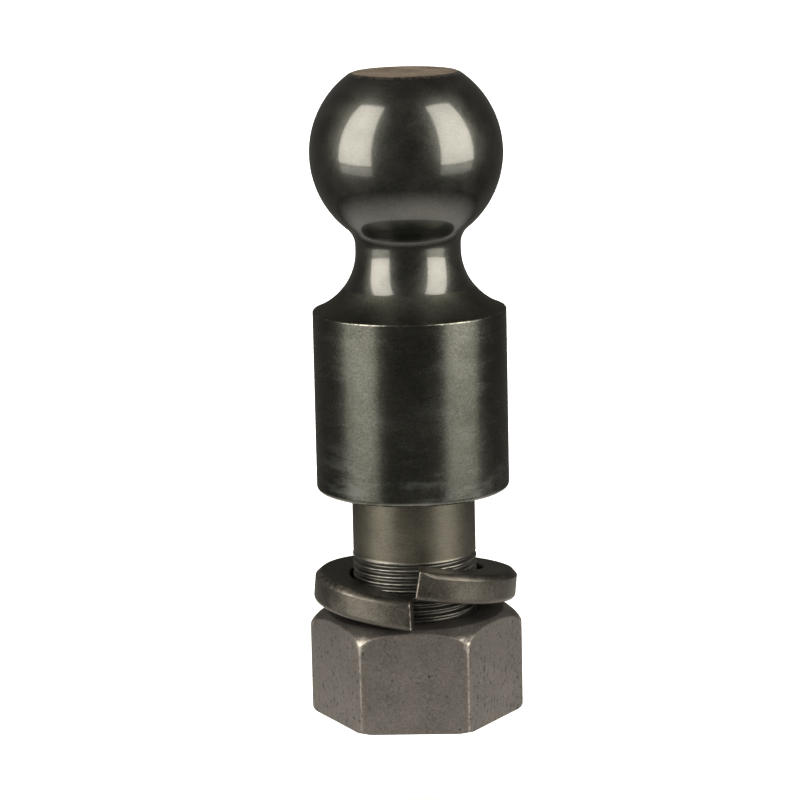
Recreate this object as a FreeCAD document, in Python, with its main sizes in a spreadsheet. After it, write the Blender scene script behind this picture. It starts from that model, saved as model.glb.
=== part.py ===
import FreeCAD, Part
import os
import Sketcher

# Trailer hitch with ball: a forged ball stud, a helical spring lock washer and a hexagon nut.
# Millimetres, +Z up. The origin is on the stud's axis, in the plane of the collar's flat underside,
# which is the seat that rests on a drawbar.

DOCUMENT_NAME = "hitch_with_ball"
SHEET_NAME = "Sizes"
OUTPUT_FOLDER = "parts"

# alias, value, what it is
SIZES = [
    ("ball_dia", 58.74, "ball diameter, 2-5/16 inch"),
    ("ball_height", 103.3, "ball centre above the seat"),
    ("flat_height", 127.7, "flat on top of the ball, above the seat"),
    ("flat_edge", 0.5, "edge break round the flat"),
    ("neck_dia", 32.2, "neck diameter at its narrowest"),
    ("neck_fillet", 6.75, "fillet between neck and ball"),
    ("flare_height", 73.54, "height where the neck starts to flare"),
    ("flare_upper_radius", 18.0, "first arc of the flare"),
    ("flare_upper_turn", 36.0, "turn of the first arc, degrees"),
    ("flare_lower_radius", 21.65, "second arc of the flare"),
    ("flare_full_turn", 69.2, "turn of both arcs, degrees"),
    ("collar_dia", 59.14, "collar diameter"),
    ("rim_radius", 0.5, "rounding of the collar's top rim"),
    ("rim_drop", 0.3, "height of that rounding"),
    ("seat_edge", 1.45, "rounding of the seat's outer edge"),
    ("seat_fillet", 0.8, "fillet between seat and shank"),
    ("shank_dia", 37.76, "smooth shank diameter"),
    ("shank_length", 70.4, "shank below the seat"),
    ("shank_chamfer", 1.9, "chamfer at the shank's end"),
    ("thread_dia", 38.1, "thread major diameter, 1-1/2 inch"),
    ("thread_pitch", 2.1167, "12 threads per inch"),
    ("thread_depth", 1.298, "depth of the stud's thread"),
    ("thread_top", 19.9, "full thread ends this far below the seat"),
    ("thread_play", 0.3, "radial play between stud and nut threads"),
    ("runout_angle", 40.0, "half angle of the cone that the last turn runs out on, degrees"),
    ("runout_height", 1.55, "rise of the groove while it runs out"),
    ("washer_dia", 62.06, "lock washer outside diameter"),
    ("washer_bore", 40.8, "lock washer bore"),
    ("washer_thick", 9.0, "thickness of its section"),
    ("washer_rise", 9.6, "rise of its single turn"),
    ("washer_turn", 358.6, "sweep of that turn, degrees"),
    ("washer_chamfer", 1.5, "chamfer along its top outer edge"),
    ("washer_round", 1.6, "rounding along its bottom outer edge"),
    ("washer_bore_round", 0.7, "rounding along the bore's edges"),
    ("washer_shift_x", 0.1, "washer off the axis to the right"),
    ("washer_shift_y", 0.55, "washer off the axis to the front"),
    ("washer_height", 30.55, "centre of the washer below the seat"),
    ("washer_start", -92.0, "direction of its low end, degrees"),
    ("washer_lean_x", -3.8, "lean about X, degrees"),
    ("washer_lean_y", 5.6, "lean about Y, degrees"),
    ("nut_flats", 57.15, "nut width across flats, 2-1/4 inch"),
    ("nut_top", 38.4, "nut's top face below the seat"),
    ("nut_height", 32.5, "nut height"),
    ("nut_turn", -1.8, "nut turned about the axis, degrees"),
    ("nut_corner_round", 2.0, "rounding of the six upright edges"),
    ("nut_base_round", 0.8, "rounding of the base's edge"),
    ("nut_foot_dia", 61.2, "flat circle on the nut's base"),
    ("nut_crown_dia", 54.3, "flat circle on the nut's top"),
    ("nut_crown_slope", 30.0, "slope of the corner chamfer, degrees"),
    ("nut_crown_round", 6.5, "rounding from that chamfer into the corners"),
    ("nut_bore", 36.1, "nut bore inside the thread"),
    ("nut_sink", 1.4, "countersink at both ends of the bore"),
]

# Half angle of a unified thread's flank, its flat at the crest, and its groove's floor, as shares of the pitch.
THREAD_FLANK = 30.0
CREST_SHARE = 0.125
FLOOR_SHARE = 0.166667
# A cutting profile reaches this far past the surface that it cuts.
OVERCUT = 0.4
# Turns by which the stud's thread cutter starts below the shank, and the nut's cutter below its base.
SPARE_TURNS = 1.5
LEAD_IN_TURNS = 3
FULL_TURN = 360.0
HALF = 0.5
NUT_SIDES = 6


def make_sheet(document):
    """The driving dimensions, one row each: name, value, meaning."""
    sheet = document.addObject("Spreadsheet::Sheet", SHEET_NAME)
    for row, (alias, value, meaning) in enumerate(SIZES, start=1):
        sheet.set(f"A{row}", alias)
        sheet.set(f"B{row}", str(value))
        sheet.set(f"C{row}", meaning)
        sheet.setAlias(f"B{row}", alias)
    document.recompute()
    return sheet


def size(name):
    """The expression that reads one driving dimension."""
    return f"{SHEET_NAME}.{name}"


def new_body(document, label):
    body = document.addObject("PartDesign::Body", label)
    body.Label = label
    return body


def sketch_on(body, role, name):
    """An empty sketch on one of the body's own origin planes."""
    plane = next(feature for feature in body.Origin.OriginFeatures if feature.Role == role)
    sketch = body.newObject("Sketcher::SketchObject", name)
    sketch.AttachmentSupport = (plane, [""])
    sketch.MapMode = "FlatFace"
    return sketch


def arc_between(start, end, radius, left):
    """An arc of the given radius; left is the side of the chord that its centre lies on."""
    chord = end - start
    reach = (radius ** 2 - (chord.Length * HALF) ** 2) ** HALF
    side = FreeCAD.Vector(-chord.y, chord.x, 0).normalize() * (reach if left else -reach)
    centre = (start + end) * HALF + side
    circle = Part.Circle(centre, FreeCAD.Vector(0, 0, 1), radius)
    first, last = circle.parameter(start), circle.parameter(end)
    if left:
        return Part.ArcOfCircle(circle, first, last), 1, 2
    return Part.ArcOfCircle(circle, last, first), 2, 1


def bind(sketch, name, constraint, expression):
    index = sketch.addConstraint(constraint)
    sketch.renameConstraint(index, name)
    sketch.setExpression(f"Constraints.{name}", expression)


def outline(sketch, corners, arcs=None):
    """Draw a closed outline and bind it to the sheet.

    corners are (across, up) pairs of expressions, in order. arcs gives, for the edge that leaves a
    corner, its radius as an expression and whether its centre lies to the left.
    """
    arcs = arcs or {}
    points = []
    for across, up in corners:
        x = float(sketch.evalExpression(across))
        y = float(sketch.evalExpression(up))
        points.append(FreeCAD.Vector(x, y, 0))
    edges = []
    for number, start in enumerate(points):
        end = points[(number + 1) % len(points)]
        if number in arcs:
            radius, left = arcs[number]
            value = float(sketch.evalExpression(radius))
            curve, first, last = arc_between(start, end, value, left)
        else:
            curve, first, last = Part.LineSegment(start, end), 1, 2
        edges.append((sketch.addGeometry(curve, False), first, last))
    for number, (edge, first, last) in enumerate(edges):
        following, its_first, _ = edges[(number + 1) % len(edges)]
        sketch.addConstraint(Sketcher.Constraint("Coincident", edge, last, following, its_first))
    for number, (across, up) in enumerate(corners):
        edge, first, _ = edges[number]
        for kind, axis, expression in (("DistanceX", -2, across), ("DistanceY", -1, up)):
            if expression == "0":
                sketch.addConstraint(Sketcher.Constraint("PointOnObject", edge, first, axis))
                continue
            value = float(sketch.evalExpression(expression))
            place = Sketcher.Constraint(kind, -1, 1, edge, first, value)
            bind(sketch, f"{kind[-1].lower()}_{number}", place, expression)
        if number in arcs:
            value = float(sketch.evalExpression(arcs[number][0]))
            bind(sketch, f"radius_{number}", Sketcher.Constraint("Radius", edge, value), arcs[number][0])


def revolve(body, kind, sketch, name):
    """Turn a sketch once round the body's upright axis, as a Revolution or a Groove."""
    feature = body.newObject(f"PartDesign::{kind}", name)
    feature.Profile = sketch
    feature.ReferenceAxis = (sketch, ["V_Axis"])
    feature.Angle = FULL_TURN
    return feature


def helix(body, kind, sketch, name, pitch, height, left_handed=False):
    """Sweep a sketch up a helix round the body's upright axis."""
    feature = body.newObject(f"PartDesign::{kind}", name)
    feature.Profile = sketch
    feature.ReferenceAxis = (sketch, ["V_Axis"])
    feature.Mode = "pitch-height-angle"
    feature.setExpression("Pitch", pitch)
    feature.setExpression("Height", height)
    feature.LeftHanded = left_handed
    return feature


def edge_names(shape, wanted):
    return [f"Edge{n}" for n, edge in enumerate(shape.Edges, start=1) if wanted(edge)]


def make_hitch_ball(document):
    """The ball stud, one forging: ball, neck, collar, shank and thread."""
    body = new_body(document, "hitch_ball")
    ball, neck = f"({size('ball_dia')} / 2)", f"({size('neck_dia')} / 2)"
    fillet, collar = size("neck_fillet"), f"({size('collar_dia')} / 2)"
    shank, thread = f"({size('shank_dia')} / 2)", f"({size('thread_dia')} / 2)"
    centre, end = size("ball_height"), f"(0 - {size('shank_length')})"
    # The flare is two arcs that meet in line.
    upper, lower = size("flare_upper_radius"), size("flare_lower_radius")
    turn, full = size("flare_upper_turn"), size("flare_full_turn")
    bend_across = f"{neck} + {upper} * (1 - cos({turn}))"
    bend_up = f"{size('flare_height')} - {upper} * sin({turn})"
    rim_across = f"{bend_across} + {lower} * (cos({turn}) - cos({full}))"
    rim_up = f"{bend_up} - {lower} * (sin({full}) - sin({turn}))"
    # The neck's fillet touches the ball where the line between their centres crosses its surface.
    lean = f"(({neck} + {fillet}) / ({ball} + {fillet}))"
    rise = f"sqrt(1 - {lean} ^ 2)"
    cap = f"({size('flat_height')} - {centre})"
    edge = size("flat_edge")
    corners = [
        ("0", end),
        (f"{thread} - {size('shank_chamfer')}", end),
        (thread, f"{end} + {size('shank_chamfer')}"),
        (thread, f"0 - {size('thread_top')}"),
        (shank, f"{thread} - {shank} - {size('thread_top')}"),
        (shank, f"0 - {size('seat_fillet')}"),
        (f"{shank} + {size('seat_fillet')}", "0"),
        (f"{collar} - {size('seat_edge')}", "0"),
        (collar, size("seat_edge")),
        (collar, f"{rim_up} - {size('rim_drop')}"),
        (rim_across, rim_up),
        (bend_across, bend_up),
        (neck, size("flare_height")),
        (neck, f"{centre} - ({ball} + {fillet}) * {rise}"),
        (f"{ball} * {lean}", f"{centre} - {ball} * {rise}"),
        (f"sqrt({ball} ^ 2 - ({cap} - {edge}) ^ 2)", f"{size('flat_height')} - {edge}"),
        (f"sqrt({ball} ^ 2 - {cap} ^ 2) - {edge}", size("flat_height")),
        ("0", size("flat_height")),
    ]
    arcs = {
        5: (size("seat_fillet"), False),
        7: (size("seat_edge"), True),
        9: (size("rim_radius"), True),
        10: (lower, False),
        11: (upper, False),
        13: (fillet, False),
        14: (ball, True),
    }
    profile = sketch_on(body, "XZ_Plane", "stud_profile")
    outline(profile, corners, arcs)
    revolve(body, "Revolution", profile, "stud_blank")

    # The groove starts below the shank's end and winds up to the top of the full thread.
    pitch, depth = size("thread_pitch"), size("thread_depth")
    floor, mouth = f"{thread} - {depth}", f"{thread} + {OVERCUT}"
    half_floor = f"({pitch} * {FLOOR_SHARE / 2})"
    half_mouth = f"({half_floor} + ({depth} + {OVERCUT}) * tan({THREAD_FLANK}))"
    start = f"({end} - {SPARE_TURNS} * {pitch})"
    turns = f"round(({size('shank_length')} - {size('thread_top')}) / {pitch} + {SPARE_TURNS})"
    cutter = sketch_on(body, "XZ_Plane", "groove_profile")
    outline(cutter, v_groove(floor, mouth, half_floor, half_mouth, start))
    helix(body, "SubtractiveHelix", cutter, "thread", pitch, f"{turns} * {pitch}")
    fading = sketch_on(body, "XZ_Plane", "runout_profile")
    outline(fading, v_groove(floor, mouth, half_floor, half_mouth, f"({start} + {turns} * {pitch})"))
    runout = helix(body, "SubtractiveHelix", fading, "runout", pitch, size("runout_height"))
    runout.setExpression("Angle", size("runout_angle"))
    return body


def v_groove(floor, mouth, half_floor, half_mouth, height):
    """Corners of a thread groove's section: narrow at its floor, wide at its mouth."""
    return [
        (floor, f"{height} - {half_floor}"),
        (mouth, f"{height} - {half_mouth}"),
        (mouth, f"{height} + {half_mouth}"),
        (floor, f"{height} + {half_floor}"),
    ]


def make_lock_washer(document):
    """The spring lock washer: one left-handed turn of thick bar that leans on the shank."""
    body = new_body(document, "lock_washer")
    bore, outside = f"({size('washer_bore')} / 2)", f"({size('washer_dia')} / 2)"
    base = f"(0 - ({size('washer_rise')} + {size('washer_thick')}) / 2)"
    top = f"({base} + {size('washer_thick')})"
    inner, outer, chamfer = size("washer_bore_round"), size("washer_round"), size("washer_chamfer")
    corners = [
        (f"{bore} + {inner}", base),
        (f"{outside} - {outer}", base),
        (outside, f"{base} + {outer}"),
        (outside, f"{top} - {chamfer}"),
        (f"{outside} - {chamfer}", top),
        (f"{bore} + {inner}", top),
        (bore, f"{top} - {inner}"),
        (bore, f"{base} + {inner}"),
    ]
    section = sketch_on(body, "XZ_Plane", "bar_section")
    outline(section, corners, {1: (outer, True), 5: (inner, True), 7: (inner, True)})
    height = f"{size('washer_rise')} * {size('washer_turn')} / {FULL_TURN}"
    helix(body, "AdditiveHelix", section, "coil", size("washer_rise"), height, left_handed=True)
    lean = FreeCAD.Rotation(FreeCAD.Vector(0, 1, 0), cell(document, "washer_lean_y"))
    lean = lean * FreeCAD.Rotation(FreeCAD.Vector(1, 0, 0), cell(document, "washer_lean_x"))
    lean = lean * FreeCAD.Rotation(FreeCAD.Vector(0, 0, 1), cell(document, "washer_start"))
    body.Placement = FreeCAD.Placement(FreeCAD.Vector(0, 0, 0), lean)
    body.setExpression("Placement.Base.x", size("washer_shift_x"))
    body.setExpression("Placement.Base.y", f"0 - {size('washer_shift_y')}")
    body.setExpression("Placement.Base.z", f"0 - {size('washer_height')}")
    return body


def cell(document, name):
    return float(document.getObject(SHEET_NAME).get(name))


def make_hex_nut(document):
    """The hexagon nut, built upwards from its own base."""
    body = new_body(document, "hex_nut")
    height, flats = size("nut_height"), size("nut_flats")
    hexagon = sketch_on(body, "XY_Plane", "hexagon")
    corner = f"{flats} / sqrt(3)"
    corners = []
    for number in range(NUT_SIDES):
        angle = f"({number * FULL_TURN / NUT_SIDES} + {size('nut_turn')})"
        corners.append((f"{corner} * cos({angle})", f"{corner} * sin({angle})"))
    outline(hexagon, corners)
    blank = body.newObject("PartDesign::Pad", "hexagon_bar")
    blank.Profile = hexagon
    blank.setExpression("Length", height)
    document.recompute()

    upright = body.newObject("PartDesign::Fillet", "corner_rounding")
    upright.Base = (blank, edge_names(blank.Shape, is_upright))
    upright.setExpression("Radius", size("nut_corner_round"))
    document.recompute()
    base = body.newObject("PartDesign::Fillet", "base_rounding")
    base.Base = (upright, edge_names(upright.Shape, lies_at_base))
    base.setExpression("Radius", size("nut_base_round"))

    # The crown: a sloping chamfer that rounds over into the upright corners.
    flat, slope, rounding = f"({size('nut_crown_dia')} / 2)", size("nut_crown_slope"), size("nut_crown_round")
    outside = f"({corner} + {OVERCUT})"
    knee_across = f"({outside} - {rounding} * (1 - sin({slope})))"
    knee_up = f"({height} - ({knee_across} - {flat}) * tan({slope}))"
    shoulder = f"({knee_up} - {rounding} * cos({slope}))"
    corners = [
        (flat, height),
        (knee_across, knee_up),
        (outside, shoulder),
        (f"{outside} + {OVERCUT}", shoulder),
        (f"{outside} + {OVERCUT}", f"{height} + {OVERCUT}"),
        (flat, f"{height} + {OVERCUT}"),
    ]
    crown = sketch_on(body, "XZ_Plane", "crown_profile")
    outline(crown, corners, {1: (rounding, False)})
    revolve(body, "Groove", crown, "crown")

    # The foot: the base's six corners round up into the upright edges.
    foot, side = f"({size('nut_foot_dia')} / 2)", f"({corner})"
    corners = [
        (foot, "0"),
        (foot, f"0 - {OVERCUT}"),
        (f"{side} + {OVERCUT}", f"0 - {OVERCUT}"),
        (f"{side} + {OVERCUT}", f"{side} - {foot}"),
        (side, f"{side} - {foot}"),
    ]
    heel = sketch_on(body, "XZ_Plane", "foot_profile")
    outline(heel, corners, {4: (f"{side} - {foot}", True)})
    revolve(body, "Groove", heel, "foot")

    bore, sink = f"({size('nut_bore')} / 2)", size("nut_sink")
    corners = [
        ("0", f"0 - {OVERCUT}"),
        (f"{bore} + {sink} + {OVERCUT}", f"0 - {OVERCUT}"),
        (bore, sink),
        (bore, f"{height} - {sink}"),
        (f"{bore} + {sink} + {OVERCUT}", f"{height} + {OVERCUT}"),
        ("0", f"{height} + {OVERCUT}"),
    ]
    hole = sketch_on(body, "XZ_Plane", "bore_profile")
    outline(hole, corners)
    revolve(body, "Groove", hole, "bore")

    # The nut's groove takes the stud's ridge, half a pitch from the stud's groove.
    pitch, play = size("thread_pitch"), size("thread_play")
    floor, mouth = f"({size('thread_dia')} / 2 + {play})", f"({bore} - {OVERCUT})"
    half_floor = f"({pitch} * {CREST_SHARE / 2})"
    half_mouth = f"({half_floor} + ({floor} - {mouth}) * tan({THREAD_FLANK}))"
    stud_start = f"(0 - {size('shank_length')} - {SPARE_TURNS} * {pitch})"
    nut_base = f"(0 - {size('nut_top')} - {height})"
    phase = f"(({stud_start} - {nut_base}) / {pitch})"
    start = f"({pitch} * ({phase} - floor({phase}) + {HALF} - {LEAD_IN_TURNS}))"
    turns = f"(ceil({height} / {pitch}) + {2 * LEAD_IN_TURNS})"
    cutter = sketch_on(body, "XZ_Plane", "nut_groove_profile")
    outline(cutter, v_groove(floor, mouth, half_floor, half_mouth, start))
    helix(body, "SubtractiveHelix", cutter, "nut_thread", pitch, f"{turns} * {pitch}")
    body.setExpression("Placement.Base.z", f"0 - {size('nut_top')} - {height}")
    return body


def is_upright(edge):
    ends = edge.Vertexes
    return abs(ends[0].X - ends[-1].X) < OVERCUT and abs(ends[0].Y - ends[-1].Y) < OVERCUT


def lies_at_base(edge):
    return edge.BoundBox.ZMax < OVERCUT


def check(document, bodies):
    """Stop when any object failed, or when a sub-part is empty or unsound."""
    for thing in document.Objects:
        if "Invalid" in thing.State or "Error" in thing.State:
            raise RuntimeError(f"{thing.Name} failed: {thing.State}")
    for body in bodies:
        if body.Shape.isNull() or not body.Shape.isValid() or len(body.Shape.Solids) != 1:
            raise RuntimeError(f"{body.Label} is not one sound solid")


def main():
    document = FreeCAD.newDocument(DOCUMENT_NAME)
    make_sheet(document)
    bodies = [make_hitch_ball(document), make_lock_washer(document), make_hex_nut(document)]
    document.recompute()
    check(document, bodies)
    os.makedirs(OUTPUT_FOLDER, exist_ok=True)
    for body in bodies:
        body.Shape.exportStep(f"{OUTPUT_FOLDER}/{body.Label}.step")
        print(body.Label, "volume", round(body.Shape.Volume), "faces", len(body.Shape.Faces))


main()
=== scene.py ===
"""Finished look of a trailer hitch with ball: the ball stud, its spring lock washer and its hexagon nut.

Each of the three has a finished mesh that stands for the CAD node of the same name and rides on its body.
Lengths are in metres, +Z is up, and the origin is on the stud's axis in the plane of the collar's seat.
"""

import logging
import math
from dataclasses import dataclass
from enum import Enum
from typing import Any, Callable, ClassVar, Mapping, Optional, Sequence, Union

import bmesh
import bpy
from mathutils import Matrix, Vector


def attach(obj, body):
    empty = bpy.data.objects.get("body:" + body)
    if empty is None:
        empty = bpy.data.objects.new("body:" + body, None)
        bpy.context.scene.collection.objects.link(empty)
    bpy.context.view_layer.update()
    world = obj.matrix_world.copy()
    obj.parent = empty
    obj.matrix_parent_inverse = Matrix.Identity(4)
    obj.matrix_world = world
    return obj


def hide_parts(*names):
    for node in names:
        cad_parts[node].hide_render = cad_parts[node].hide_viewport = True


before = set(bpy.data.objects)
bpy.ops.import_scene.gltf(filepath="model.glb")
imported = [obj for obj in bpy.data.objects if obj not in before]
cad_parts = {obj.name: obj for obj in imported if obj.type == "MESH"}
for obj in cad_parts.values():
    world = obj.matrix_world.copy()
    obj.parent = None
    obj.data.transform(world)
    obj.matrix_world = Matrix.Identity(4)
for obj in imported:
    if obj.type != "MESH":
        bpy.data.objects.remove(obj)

MM = 0.001
MERGE_GAP = 0.004 * MM
FULL_TURN = 2 * math.pi
NUT_SIDES = 6
SECTOR = FULL_TURN / NUT_SIDES
LOG = logging.getLogger("hitch")

Colour = tuple[float, float, float, float]
Point = tuple[float, float]
Triple = tuple[float, float, float]


# ---------------------------------------------------------------- nodes

class Value:
    """An output socket whose arithmetic adds Math nodes to its tree."""

    def __init__(self, bench: "NodeBench", socket: bpy.types.NodeSocket) -> None:
        """Keep the bench that makes nodes and the socket that this value comes from."""
        self.bench = bench
        self.socket = socket

    def _math(self, operation: str, *operands: "Operand") -> "Value":
        """Add one Math node.

        Args:
            operation: the Math node's operation.
            operands: its inputs, in order.

        Returns:
            The node's result.
        """
        inputs = dict(enumerate(operands))
        node = self.bench.node("ShaderNodeMath", {"operation": operation}, inputs)
        return Value(self.bench, node.outputs[0])

    def __add__(self, other: "Operand") -> "Value":
        """Return self + other."""
        return self._math("ADD", self, other)

    def __radd__(self, other: "Operand") -> "Value":
        """Return other + self."""
        return self._math("ADD", other, self)

    def __sub__(self, other: "Operand") -> "Value":
        """Return self - other."""
        return self._math("SUBTRACT", self, other)

    def __rsub__(self, other: "Operand") -> "Value":
        """Return other - self."""
        return self._math("SUBTRACT", other, self)

    def __mul__(self, other: "Operand") -> "Value":
        """Return self * other."""
        return self._math("MULTIPLY", self, other)

    def __rmul__(self, other: "Operand") -> "Value":
        """Return other * self."""
        return self._math("MULTIPLY", other, self)

    def low(self, other: "Operand") -> "Value":
        """Return the smaller of self and other."""
        return self._math("MINIMUM", self, other)

    def high(self, other: "Operand") -> "Value":
        """Return the larger of self and other."""
        return self._math("MAXIMUM", self, other)

    def size(self) -> "Value":
        """Return the value without its sign."""
        return self._math("ABSOLUTE", self)

    def sine(self) -> "Value":
        """Return the sine of an angle in radians."""
        return self._math("SINE", self)

    def cosine(self) -> "Value":
        """Return the cosine of an angle in radians."""
        return self._math("COSINE", self)

    def between(self, start: "Operand", end: "Operand", smooth: bool = True) -> "Value":
        """Run from 0 at start to 1 at end.

        Args:
            start: the value that gives 0.
            end: the value that gives 1.
            smooth: ease in and out of the ramp.

        Returns:
            The clamped ramp.
        """
        settings = {"interpolation_type": "SMOOTHSTEP" if smooth else "LINEAR"}
        inputs = {"Value": self, "From Min": start, "From Max": end}
        return Value(self.bench, self.bench.node("ShaderNodeMapRange", settings, inputs).outputs[0])


Operand = Union[Value, float, int, Sequence[float]]


class NodeBench:
    """A node tree that is being filled."""

    def __init__(self, tree: bpy.types.NodeTree) -> None:
        """Keep the tree."""
        self.tree = tree

    @classmethod
    def of(cls, owner: Union[bpy.types.Material, bpy.types.World]) -> "NodeBench":
        """Return a bench on an owner's own tree, with nothing left in it."""
        owner.use_nodes = True
        owner.node_tree.nodes.clear()
        return cls(owner.node_tree)

    def node(self, kind: str, settings: Optional[Mapping[str, Any]] = None,
             inputs: Optional[Mapping[Union[str, int], Operand]] = None) -> bpy.types.Node:
        """Add any node.

        Args:
            kind: the node's type.
            settings: its own settings, set before its sockets.
            inputs: a value or a link for each named or numbered input socket.

        Returns:
            The new node.
        """
        node = self.tree.nodes.new(kind)
        for name, setting in (settings or {}).items():
            setattr(node, name, setting)
        for name, value in (inputs or {}).items():
            if isinstance(value, Value):
                self.tree.links.new(value.socket, node.inputs[name])
            else:
                node.inputs[name].default_value = value
        return node

    def result(self, kind: str, settings: Optional[Mapping[str, Any]] = None,
               inputs: Optional[Mapping[Union[str, int], Operand]] = None,
               output: Union[str, int] = 0) -> Value:
        """Add any node and return one of its outputs."""
        return Value(self, self.node(kind, settings, inputs).outputs[output])

    def blend(self, factor: Operand, first: Operand, second: Operand) -> Value:
        """Mix two colours.

        Args:
            factor: 0 gives the first colour, 1 the second.
            first: a colour.
            second: a colour.

        Returns:
            The mixed colour.
        """
        node = self.node("ShaderNodeMix", {"data_type": "RGBA"}, {0: factor, 6: first, 7: second})
        return Value(self, node.outputs[2])

    def stretched(self, scale: Sequence[float]) -> Value:
        """Return Object coordinates stretched by scale."""
        place = self.result("ShaderNodeTexCoord", output="Object")
        return self.result("ShaderNodeMapping", inputs={"Vector": place, "Scale": scale})

    def noise(self, place: Value, scale: float, detail: float = 3.0, rough: float = 0.5) -> Value:
        """Return noise with that many cells in a metre."""
        inputs = {"Vector": place, "Scale": scale, "Detail": detail, "Roughness": rough}
        return self.result("ShaderNodeTexNoise", inputs=inputs)

    def pits(self, place: Value, scale: float) -> Value:
        """Return the distance to scattered points, that many in a metre."""
        return self.result("ShaderNodeTexVoronoi", inputs={"Vector": place, "Scale": scale})

    def attribute(self, name: str) -> Value:
        """Return one of the mesh's own float attributes."""
        return self.result("ShaderNodeAttribute", {"attribute_name": name}, output="Fac")


# ---------------------------------------------------------------- finishes

class Grain(Enum):
    """Which way the marks of making run."""

    TURNED = (1.0, 1.0, 11.0)
    FORGED = (1.0, 1.0, 1.0)


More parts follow.
